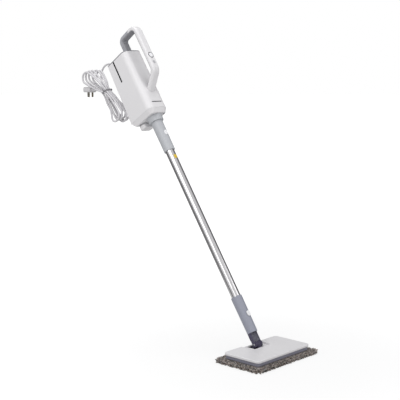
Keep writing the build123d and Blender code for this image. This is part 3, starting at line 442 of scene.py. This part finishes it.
def moulded(name, colour, gloss=0.42, grain=900.0, depth=0.00004, wear=0.3, radius=0.0008,
            clouds=0.05, coat=0.0, edge=None, sheen=0.0, specular=0.5, subsurface=0.0):
    """A moulded plastic or rubber finish in one colour; its worn edges are a little paler."""
    paint, tree, shader = new_paint(name)
    edge = edge or [min(1, part * 1.25 + 0.03) for part in colour]
    skin = node_in(
        tree, "ShaderNodeGroup", node_tree=moulded_skin, Colour=(*colour, 1), Edge_Colour=(*edge, 1),
        Gloss=gloss, Grain=grain, Clouds=clouds, Wear=wear, Edge_Radius=radius,
    )
    bump = node_in(
        tree, "ShaderNodeBump",
        [(skin.outputs["Height"], "Height"), (skin.outputs["Normal"], "Normal")],
        Strength=0.5, Distance=depth,
    )
    tree.links.new(skin.outputs["Colour"], shader.inputs["Base Color"])
    tree.links.new(skin.outputs["Roughness"], shader.inputs["Roughness"])
    tree.links.new(bump.outputs["Normal"], shader.inputs["Normal"])
    shader.inputs["Coat Weight"].default_value = coat
    shader.inputs["Coat Roughness"].default_value = 0.12
    shader.inputs["Sheen Weight"].default_value = sheen
    shader.inputs["Specular IOR Level"].default_value = specular
    shader.inputs["Subsurface Weight"].default_value = subsurface
    shader.inputs["Subsurface Radius"].default_value = (0.004, 0.004, 0.004)
    return paint


def dress(paint, *names):
    """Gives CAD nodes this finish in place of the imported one."""
    for name in names:
        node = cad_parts[name]
        node.data.materials.clear()
        node.data.materials.append(paint)


flex_jacket = moulded(
    "flex_jacket", (0.60, 0.59, 0.61), gloss=0.38, grain=1400, depth=0.00001, wear=0, radius=0.0002,
    clouds=0.08, sheen=0.05,
)
flex_curve.materials.append(flex_jacket)
dress(moulded("boot_plastic", (0.57, 0.56, 0.58), gloss=0.45, wear=0.2), "cord_gland")
dress(moulded("plug_plastic", (0.60, 0.59, 0.60), gloss=0.40, wear=0.35, radius=0.0016), "plug_body")
pin_metal, pin_tree, pin_shader = new_paint("pin_metal")
pin_shader.inputs["Metallic"].default_value = 1
pin_place = node_in(pin_tree, "ShaderNodeTexCoord")
pin_scuff = node_in(
    pin_tree, "ShaderNodeTexNoise", [(pin_place.outputs["Object"], "Vector")],
    Scale=700.0, Detail=3.0,
)
pin_tint = ramp_in(
    pin_tree, pin_scuff.outputs["Fac"], ((0, (0.20, 0.18, 0.13)), (1, (0.42, 0.38, 0.28)))
)
pin_rough = node_in(
    pin_tree, "ShaderNodeMapRange", [(pin_scuff.outputs["Fac"], "Value")], To_Min=0.25, To_Max=0.45
)
pin_tree.links.new(pin_tint.outputs["Color"], pin_shader.inputs["Base Color"])
pin_tree.links.new(pin_rough.outputs["Result"], pin_shader.inputs["Roughness"])
dress(pin_metal, "plug_pins")


def piece_from(name, corners, faces, paint, body):
    """A smooth mesh piece from its corners and faces, riding on a body."""
    mesh = bpy.data.meshes.new(name)
    mesh.from_pydata([tuple(corner) for corner in corners], [], faces)
    mesh.update()
    made = bpy.data.objects.new(name, mesh)
    bpy.context.scene.collection.objects.link(made)
    mesh.materials.append(paint)
    for polygon in mesh.polygons:
        polygon.use_smooth = True
    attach(made, body)
    return made


# The tie: a short grey strap, 4 mm wide, once round the hank's waist. It slants a little.
tie_corners, tie_faces = [], []
tie_steps = 44
tie_reach, tie_depth, tie_side = 11.0, 16.2, -37.5  # mm: half its size both ways, and its middle
tie_section = ((0, -2), (1.2, -2), (1.5, 0), (1.2, 2), (0, 2))  # mm: how far out, and how high
for step in range(tie_steps):
    angle = 2 * math.pi * step / tie_steps
    swell = (abs(math.cos(angle)) ** 4 + abs(math.sin(angle)) ** 4) ** -0.25
    for proud, rise in tie_section:
        tie_corners.append(
            behind_body(
                waist_front + (tie_reach + proud) * swell * math.cos(angle),
                waist_rise + rise + 1.2 * math.sin(angle),
                tie_side + (tie_depth + proud) * swell * math.sin(angle),
            )
        )
tie_rows = len(tie_section)
for step in range(tie_steps):
    here, after = tie_rows * step, tie_rows * ((step + 1) % tie_steps)
    for row in range(tie_rows):
        beside = (row + 1) % tie_rows
        tie_faces.append((here + row, after + row, after + beside, here + beside))
hank_tie = piece_from(
    "hank_tie", tie_corners, tie_faces,
    moulded(
        "tie_strap", (0.24, 0.235, 0.25), gloss=0.6, grain=1800, depth=0.00008, wear=0, radius=0.0003
    ),
    "main_unit",
)
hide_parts("cord_tie")

# ---------------------------------------------------------------- mop pad
# A microfibre pad, 298 by 180 mm and 12 mm thick: a padded cloth body with chenille tufts
# all over, mottled grey, brown and taupe. It is held under the base by hook tape.
pad_paint, pad_tree, pad_shader = new_paint("chenille")
pad_shader.inputs["Sheen Weight"].default_value = 0.35
pad_shader.inputs["Sheen Roughness"].default_value = 0.5
pad_shader.inputs["Specular IOR Level"].default_value = 0.2
pad_place = node_in(pad_tree, "ShaderNodeTexCoord")
pad_mottle = node_in(
    pad_tree, "ShaderNodeTexVoronoi", [(pad_place.outputs["Object"], "Vector")],
    Scale=210.0, Randomness=1.0,
)
pad_pick = node_in(pad_tree, "ShaderNodeSeparateColor", [(pad_mottle.outputs["Color"], "Color")])
pad_shades = ramp_in(
    pad_tree, pad_pick.outputs[0],
    (
        (0.0, (0.055, 0.048, 0.042)),
        (0.16, (0.150, 0.118, 0.100)),
        (0.34, (0.240, 0.205, 0.180)),
        (0.50, (0.130, 0.135, 0.120)),
        (0.62, (0.330, 0.275, 0.250)),
        (0.76, (0.185, 0.165, 0.175)),
        (0.88, (0.400, 0.360, 0.330)),
    ),
    "CONSTANT",
)
pad_fibre = node_in(
    pad_tree, "ShaderNodeTexNoise", [(pad_place.outputs["Object"], "Vector")],
    Scale=1700.0, Detail=3.0, Roughness=0.7,
)
pad_lint = node_in(pad_tree, "ShaderNodeMix", data_type="RGBA", blend_type="OVERLAY")
pad_lint.inputs[0].default_value = 0.55
pad_tree.links.new(pad_shades.outputs["Color"], pad_lint.inputs[6])
pad_tree.links.new(pad_fibre.outputs["Fac"], pad_lint.inputs[7])
pad_tree.links.new(pad_lint.outputs[2], pad_shader.inputs["Base Color"])
pad_rough = node_in(
    pad_tree, "ShaderNodeMapRange", [(pad_fibre.outputs["Fac"], "Value")], To_Min=0.85, To_Max=1.0
)
pad_tree.links.new(pad_rough.outputs["Result"], pad_shader.inputs["Roughness"])
pad_fluff = node_in(
    pad_tree, "ShaderNodeBump", [(pad_fibre.outputs["Fac"], "Height")],
    Strength=0.9, Distance=0.0006,
)
pad_tree.links.new(pad_fluff.outputs["Normal"], pad_shader.inputs["Normal"])

base_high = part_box("head_base")[1]
base_half_long, base_half_wide = base_high.x - stand.x, base_high.y - stand.y
corner_radius = 0.014
cloth_inset, cloth_thick, cloth_middle = 0.012, 0.0085, 0.0055
half_long, half_wide = (pad_high.x - pad_low.x) / 2, (pad_high.y - pad_low.y) / 2
pad_form = bmesh.new()
bmesh.ops.create_cube(
    pad_form, size=1,
    matrix=Matrix.Translation(stand + Vector((0, 0, cloth_middle))) @ Matrix.Diagonal(
        (2 * half_long - cloth_inset, 2 * half_wide - cloth_inset, cloth_thick, 1)
    ),
)
uprights = [e for e in pad_form.edges if abs(e.verts[0].co.z - e.verts[1].co.z) > 0.001]
bmesh.ops.bevel(
    pad_form, geom=uprights, offset=corner_radius, segments=6, affect="EDGES", profile=0.5
)
pad_mesh = bpy.data.meshes.new("pad_cloth")
pad_form.to_mesh(pad_mesh)
pad_form.free()
pad_cloth = bpy.data.objects.new("pad_cloth", pad_mesh)
bpy.context.scene.collection.objects.link(pad_cloth)
bpy.context.view_layer.objects.active = pad_cloth
remesh = pad_cloth.modifiers.new("stitching", "REMESH")
remesh.mode = "VOXEL"
remesh.voxel_size = 0.0042
bpy.ops.object.modifier_apply(modifier="stitching")
flat_pad = [vertex.co.copy() for vertex in pad_cloth.data.vertices]
stuffing = pad_cloth.modifiers.new("stuffing", "CLOTH")
stuffing.settings.use_pressure = True
stuffing.settings.uniform_pressure_force = 4
stuffing.settings.effector_weights.gravity = 0
stuffing.settings.quality = 5
for step in range(1, 15):
    bpy.context.scene.frame_set(step)
bpy.ops.object.modifier_apply(modifier="stuffing")
bpy.context.scene.frame_set(1)
swell_limit, draw_in, ripple = 0.004, 0.0022, 0.0007
roof_under_base, roof_beside, clear_of_floor = 0.0114, 0.0104, 0.0008
for vertex, flat in zip(pad_cloth.data.vertices, flat_pad):
    swelled = vertex.co - flat
    if swelled.length > swell_limit:
        swelled *= swell_limit / swelled.length
    # the seam keeps the rim down, and the sides draw in a little between the corners
    x, y = flat.x - stand.x, flat.y - stand.y
    draw = draw_in * (1 - (x / half_long) ** 2) * abs(y / half_wide) ** 8
    pull = draw_in * (1 - (y / half_wide) ** 2) * abs(x / half_long) ** 8
    place = flat + swelled
    place.y -= math.copysign(draw, y)
    place.x -= math.copysign(pull, x)
    place += Vector((0, 0, ripple)) * noise.noise(flat * 60)
    under_base = abs(x) < base_half_long + 0.002 and abs(y) < base_half_wide + 0.002
    roof = roof_under_base if under_base else roof_beside
    height = min(max(place.z, stand.z + clear_of_floor), stand.z + roof)
    vertex.co = Vector((place.x, place.y, height))
for polygon in pad_cloth.data.polygons:
    polygon.use_smooth = True
pad_cloth.data.materials.clear()
pad_cloth.data.materials.append(pad_paint)
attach(pad_cloth, "mop_head")
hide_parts("mop_pad")

# The tufts: soft noodles about 3.6 mm thick, each leaning its own way. Those on top start 3.5 mm
# outside the base, those at the sides stand in two rows, and those below are pressed flat.
chance = random.Random(7)
tuft_corners, tuft_faces = [], []


def tuft(root, way, lean_way, length, thick):
    """One chenille noodle that stands on its root and bends over."""
    side = way.cross(lean_way)
    side = side.normalized() if side.length > 1e-6 else way.orthogonal().normalized()
    start = len(tuft_corners)
    for along, share in ((0.0, 0.80), (0.35, 1.0), (0.72, 0.92), (0.93, 0.55)):
        heading = (way * (1 - 0.75 * along) + lean_way * (0.25 + 0.9 * along)).normalized()
        centre = (
            root + way * length * (along - 0.33 * along * along)
            + lean_way * length * 0.55 * along * along
        )
        second = heading.cross(side).normalized()
        for corner in range(5):
            angle = 2 * math.pi * corner / 5
            out = side * math.cos(angle) + second * math.sin(angle)
            tuft_corners.append(centre + out * thick / 2 * share)
    tip = root + way * length * 0.67 + lean_way * length * 0.58
    tuft_corners.append(tip)
    for row in range(3):
        for corner in range(5):
            beside = (corner + 1) % 5
            low, high = start + 5 * row, start + 5 * (row + 1)
            tuft_faces.append((low + corner, low + beside, high + beside, high + corner))
    for corner in range(5):
        tuft_faces.append((start + 15 + corner, start + 15 + (corner + 1) % 5, start + 20))


def loose(amount):
    """A random share of the amount, either way."""
    return chance.uniform(-amount, amount)


pitch = 0.0041
rows_long = int(2 * half_long / pitch)
rows_wide = int(2 * half_wide / pitch)
for column in range(rows_long + 1):
    for row in range(rows_wide + 1):
        x = -half_long + 0.003 + column * (2 * half_long - 0.006) / rows_long + loose(0.0012)
        y = -half_wide + 0.003 + row * (2 * half_wide - 0.006) / rows_wide + loose(0.0012)
        corner_x = abs(x) - (half_long - corner_radius)
        corner_y = abs(y) - (half_wide - corner_radius)
        if corner_x > 0 and corner_y > 0 and math.hypot(corner_x, corner_y) > 0.0098:
            continue
        way = Vector((loose(0.35), loose(0.35), 1)).normalized()
        if abs(x) > half_long - 0.008:
            way = (way + Vector((math.copysign(0.7, x), 0, 0))).normalized()
        if abs(y) > half_wide - 0.008:
            way = (way + Vector((0, math.copysign(0.7, y), 0))).normalized()
        bend_way = Vector((loose(1), loose(1), -0.15)).normalized()
        if abs(x) > base_half_long + 0.0035 or abs(y) > base_half_wide + 0.0035:
            root = stand + Vector((x, y, 0.0082))
            tuft(root, way, bend_way, chance.uniform(0.0050, 0.0068), 0.0037)
side_pitch, both_ends, side_inset = 0.0036, 0.022, 0.0062
for side in (-1, 1):
    for run, half_run, half_far in (("long", half_long, half_wide), ("wide", half_wide, half_long)):
        count = int((2 * half_run - both_ends) / side_pitch)
        for level in (0.0030, 0.0064):
            for number in range(count + 1):
                along = (
                    -half_run + both_ends / 2 + number * (2 * half_run - both_ends) / count
                    + loose(0.001)
                )
                far = side * (half_far - side_inset)
                x, y = (along, far) if run == "long" else (far, along)
                away = Vector((0, side, 0)) if run == "long" else Vector((side, 0, 0))
                way = (away + Vector((loose(0.3), loose(0.3), loose(0.25)))).normalized()
                tuft(
                    stand + Vector((x, y, level + loose(0.0006))), way,
                    Vector((loose(1), loose(1), -0.7)).normalized(),
                    chance.uniform(0.0052, 0.0072), 0.0036,
                )
pressed = 0.0068
for column in range(int(2 * half_long / pressed)):
    for row in range(int(2 * half_wide / pressed)):
        x = -half_long + 0.006 + column * pressed + loose(0.0015)
        y = -half_wide + 0.006 + row * pressed + loose(0.0015)
        if abs(x) > half_long - 0.005 or abs(y) > half_wide - 0.005:
            continue
        if abs(x) > half_long - 0.012 and abs(y) > half_wide - 0.012:
            continue
        tuft(
            stand + Vector((x, y, 0.0019)), Vector((loose(1), loose(1), -0.12)).normalized(),
            Vector((loose(1), loose(1), 0)).normalized(), 0.0072, 0.0042,
        )
floor_line = stand.z + 0.0002
tuft_corners = [
    Vector((corner.x, corner.y, max(corner.z, floor_line + 0.0001 * (number % 5))))
    for number, corner in enumerate(tuft_corners)
]
pad_pile = piece_from("pad_pile", tuft_corners, tuft_faces, pad_paint, "mop_head")
hook_tape = moulded(
    "hook_tape", (0.12, 0.12, 0.13), gloss=0.8, grain=2600, depth=0.0004, wear=0, radius=0.0002
)
dress(hook_tape, "pad_fastener")

# ---------------------------------------------------------------- mop head
# The base is a slate plastic tray with a cast steam plate under it; a white lid with a rounded rim
# closes it from above. Four screws go up through the base into the lid.
slate = moulded(
    "slate_plastic", (0.240, 0.238, 0.292), gloss=0.46, grain=1500, depth=0.00002, wear=0.35,
    radius=0.0010, edge=(0.32, 0.32, 0.38),
)
dress(slate, "head_base")
warm_white = moulded(
    "warm_white_plastic", (0.730, 0.720, 0.732), gloss=0.40, grain=800, depth=0.00001, wear=0.25,
    radius=0.0016, clouds=0.03, coat=0.05, edge=(0.80, 0.79, 0.80),
)
dress(warm_white, "top_plate")


def cast_metal(name, dark, light, rough, scale=300.0, depth=0.0001):
    """A bare metal with an uneven skin, from sand casting, plating or rolling."""
    paint, tree, shader = new_paint(name)
    shader.inputs["Metallic"].default_value = 1
    place = node_in(tree, "ShaderNodeTexCoord")
    skin = node_in(
        tree, "ShaderNodeTexNoise", [(place.outputs["Object"], "Vector")],
        Scale=scale, Detail=4.0, Roughness=0.6,
    )
    tint = ramp_in(tree, skin.outputs["Fac"], ((0.3, dark), (0.7, light)))
    gloss = node_in(
        tree, "ShaderNodeMapRange", [(skin.outputs["Fac"], "Value")],
        To_Min=rough - 0.08, To_Max=rough + 0.10,
    )
    bump = node_in(
        tree, "ShaderNodeBump", [(skin.outputs["Fac"], "Height")], Strength=0.5, Distance=depth
    )
    tree.links.new(tint.outputs["Color"], shader.inputs["Base Color"])
    tree.links.new(gloss.outputs["Result"], shader.inputs["Roughness"])
    tree.links.new(bump.outputs["Normal"], shader.inputs["Normal"])
    return paint


cast_alloy = cast_metal("cast_alloy", (0.42, 0.42, 0.43), (0.60, 0.60, 0.61), 0.45)
dress(cast_alloy, "steam_plate", "boiler", "boiler_lid")
zinc_plate = cast_metal("zinc_plate", (0.50, 0.50, 0.52), (0.66, 0.66, 0.68), 0.30, 900, 0.00003)
dress(zinc_plate, "head_screws", "casing_screws")

# ---------------------------------------------------------------- swivel joint
# A bracket on the base holds a roll pin fore and aft; the knuckle turns on it and carries the
# pitch pin. A ribbed rubber boot covers the front of the pole's end, and the fork closes it behind.
joint_dark = moulded(
    "joint_plastic", (0.070, 0.062, 0.105), gloss=0.50, grain=1300, depth=0.00005, wear=0.3,
    radius=0.0008, edge=(0.13, 0.12, 0.18),
)
dress(joint_dark, "hinge_bracket", "knuckle", "lower_nozzle", "lower_plug", "upper_plug")
grooved_plastic = moulded(
    "grooved_plastic", (0.062, 0.055, 0.098), gloss=0.48, grain=1300, depth=0.00002, wear=1.6,
    radius=0.0005, edge=(0.26, 0.25, 0.33),
)
dress(grooved_plastic, "joint_fork")
ground_steel = cast_metal("ground_steel", (0.50, 0.50, 0.51), (0.62, 0.62, 0.63), 0.28, 700, 0.00002)
dress(ground_steel, "roll_pin", "pitch_pin", "lower_spring", "upper_spring")
dress(ground_steel, "steam_outlet", "thermostat")
boot_rubber = moulded(
    "boot_rubber", (0.165, 0.163, 0.200), gloss=0.58, grain=1900, depth=0.00004, wear=0.45,
    radius=0.0006, edge=(0.25, 0.25, 0.30), specular=0.4,
)
dress(boot_rubber, "joint_boot")

# ---------------------------------------------------------------- lower connector
# A mid grey moulding that grips the tube's lower end, with a white release button in front.
mid_grey = moulded(
    "mid_grey_plastic", (0.300, 0.312, 0.372), gloss=0.44, grain=1200, depth=0.00004, wear=0.3,
    radius=0.0010, edge=(0.40, 0.41, 0.47),
)
dress(mid_grey, "lower_connector")
button_white = moulded(
    "button_white", (0.86, 0.86, 0.88), gloss=0.28, grain=1500, depth=0.00001, wear=0.1,
    radius=0.0008, coat=0.3,
)
dress(button_white, "lower_button", "upper_button", "power_button")

# ---------------------------------------------------------------- tube
# Thin-walled stainless tube, 30 mm across, polished along its length, with a silicone steam pipe
# in it. A plain yellow film is stuck on below the upper sleeve.
tube_steel, tube_tree, tube_shader = new_paint("tube_steel")
tube_shader.inputs["Metallic"].default_value = 1
tube_place = node_in(tube_tree, "ShaderNodeTexCoord")
tube_along = node_in(
    tube_tree, "ShaderNodeMapping", [(tube_place.outputs["Object"], "Vector")],
    Rotation=(lean, 0, 0), Scale=(1, 1, 0.02),
)
tube_lines = node_in(
    tube_tree, "ShaderNodeTexNoise", [(tube_along.outputs["Vector"], "Vector")],
    Scale=1500.0, Detail=3.0,
)
tube_cloud = node_in(
    tube_tree, "ShaderNodeTexNoise", [(tube_along.outputs["Vector"], "Vector")],
    Scale=140.0, Detail=2.0,
)
tube_tint = ramp_in(
    tube_tree, tube_cloud.outputs["Fac"], ((0, (0.70, 0.69, 0.70)), (1, (0.82, 0.81, 0.82)))
)
tube_rough = node_in(
    tube_tree, "ShaderNodeMapRange", [(tube_lines.outputs["Fac"], "Value")], To_Min=0.10, To_Max=0.24
)
tube_bump = node_in(
    tube_tree, "ShaderNodeBump", [(tube_lines.outputs["Fac"], "Height")],
    Strength=0.25, Distance=0.00002,
)
tube_tree.links.new(tube_tint.outputs["Color"], tube_shader.inputs["Base Color"])
tube_tree.links.new(tube_rough.outputs["Result"], tube_shader.inputs["Roughness"])
tube_tree.links.new(tube_bump.outputs["Normal"], tube_shader.inputs["Normal"])
dress(tube_steel, "main_tube")
silicone = moulded(
    "silicone_hose", (0.62, 0.60, 0.56), gloss=0.5, grain=1200, wear=0, radius=0.0003, subsurface=0.2
)
dress(silicone, "steam_pipe", "pump_hose", "inlet_hose")
yellow_film = moulded(
    "yellow_film", (0.70, 0.48, 0.03), gloss=0.35, grain=1500, depth=0.00001, wear=0.2,
    radius=0.0002, clouds=0.10, coat=0.2,
)
dress(yellow_film, "tube_sticker")

# ---------------------------------------------------------------- upper connector and collar
# The light grey sleeve that takes the tube's top, and the stepped collar that the body sits on.
light_grey = moulded(
    "light_grey_plastic", (0.455, 0.468, 0.492), gloss=0.42, grain=1200, depth=0.00004, wear=0.25,
    radius=0.0010, edge=(0.56, 0.57, 0.59),
)
dress(light_grey, "upper_connector", "neck_collar")

# ---------------------------------------------------------------- body
# A tall white casing with a flush grey lid; a smoked window shows the water level on the cord's side.
dress(warm_white, "body_shell", "bottom_cover", "tank_cap", "handle_front_cover")
lid_grey = moulded(
    "lid_grey_plastic", (0.215, 0.215, 0.235), gloss=0.42, grain=1100, depth=0.00004, wear=0.2,
    radius=0.0010,
)
dress(lid_grey, "top_cover")
smoked = moulded(
    "smoked_window", (0.006, 0.006, 0.007), gloss=0.30, grain=600, depth=0.000005, wear=0.05,
    radius=0.0003, edge=(0.012, 0.012, 0.012), specular=0.3,
)
dress(smoked, "level_window")
badge_dark = moulded(
    "badge_plastic", (0.030, 0.030, 0.036), gloss=0.32, grain=900, depth=0.00001, wear=0.05,
    radius=0.0002,
)
dress(badge_dark, "nose_badge")

# ---------------------------------------------------------------- handle
# A D-shaped loop: grey shells inside and behind, and a white cover on the grip with two round
# buttons in it, the larger one in a dark ring.
handle_grey = moulded(
    "handle_grey_plastic", (0.355, 0.357, 0.385), gloss=0.46, grain=1300, depth=0.000015, wear=0.3,
    radius=0.0012, edge=(0.40, 0.40, 0.43),
)
dress(handle_grey, "handle_back_shell")
inner_grey = moulded(
    "inner_grey_plastic", (0.27, 0.27, 0.29), gloss=0.48, grain=1300, depth=0.000015, wear=0.2,
    radius=0.0012, edge=(0.31, 0.31, 0.33),
)
dress(inner_grey, "handle_inner_shell")
ring_dark = moulded(
    "ring_plastic", (0.075, 0.075, 0.085), gloss=0.22, grain=900, depth=0.00001, wear=0.1,
    radius=0.0004, coat=0.3,
)
dress(ring_dark, "control_ring")
silver_paint = moulded(
    "silver_paint", (0.46, 0.46, 0.48), gloss=0.30, grain=2600, depth=0.00001, wear=0.1,
    radius=0.0006, coat=0.3,
)
dress(silver_paint, "steam_button")

# ---------------------------------------------------------------- inside the body
# Water tank, pump on its shelf, boiler with two heating rings, thermostat, hoses and control board.
tank_plastic = moulded(
    "tank_plastic", (0.50, 0.56, 0.60), gloss=0.25, grain=700, depth=0.00002, wear=0.1, radius=0.0012,
    clouds=0.08, subsurface=0.3,
)
dress(tank_plastic, "water_tank")
dress(moulded("seal_rubber", (0.05, 0.05, 0.06), gloss=0.6, grain=1600, wear=0), "cap_seal")
sheathed = cast_metal("sheathed_steel", (0.20, 0.19, 0.18), (0.38, 0.36, 0.34), 0.40, 500, 0.00004)
dress(sheathed, "heating_element")
pump_nylon = moulded("pump_nylon", (0.030, 0.030, 0.034), gloss=0.5, grain=1500, depth=0.00006)
dress(pump_nylon, "pump_shelf", "pump")
board_paint, board_tree, board_shader = new_paint("board_lacquer")
board_shader.inputs["Coat Weight"].default_value = 0.3
board_place = node_in(board_tree, "ShaderNodeTexCoord")
board_tracks = node_in(
    board_tree, "ShaderNodeTexVoronoi", [(board_place.outputs["Object"], "Vector")],
    Scale=420.0, distance="CHEBYCHEV", feature="DISTANCE_TO_EDGE",
)
board_tint = ramp_in(
    board_tree, board_tracks.outputs["Distance"],
    ((0.06, (0.05, 0.20, 0.08)), (0.12, (0.015, 0.09, 0.035))),
)
board_gloss = node_in(
    board_tree, "ShaderNodeMapRange", [(board_tracks.outputs["Distance"], "Value")],
    To_Min=0.45, To_Max=0.30,
)
board_tree.links.new(board_tint.outputs["Color"], board_shader.inputs["Base Color"])
board_tree.links.new(board_gloss.outputs["Result"], board_shader.inputs["Roughness"])
dress(board_paint, "control_board", "switch_board")

bpy.context.view_layer.update()
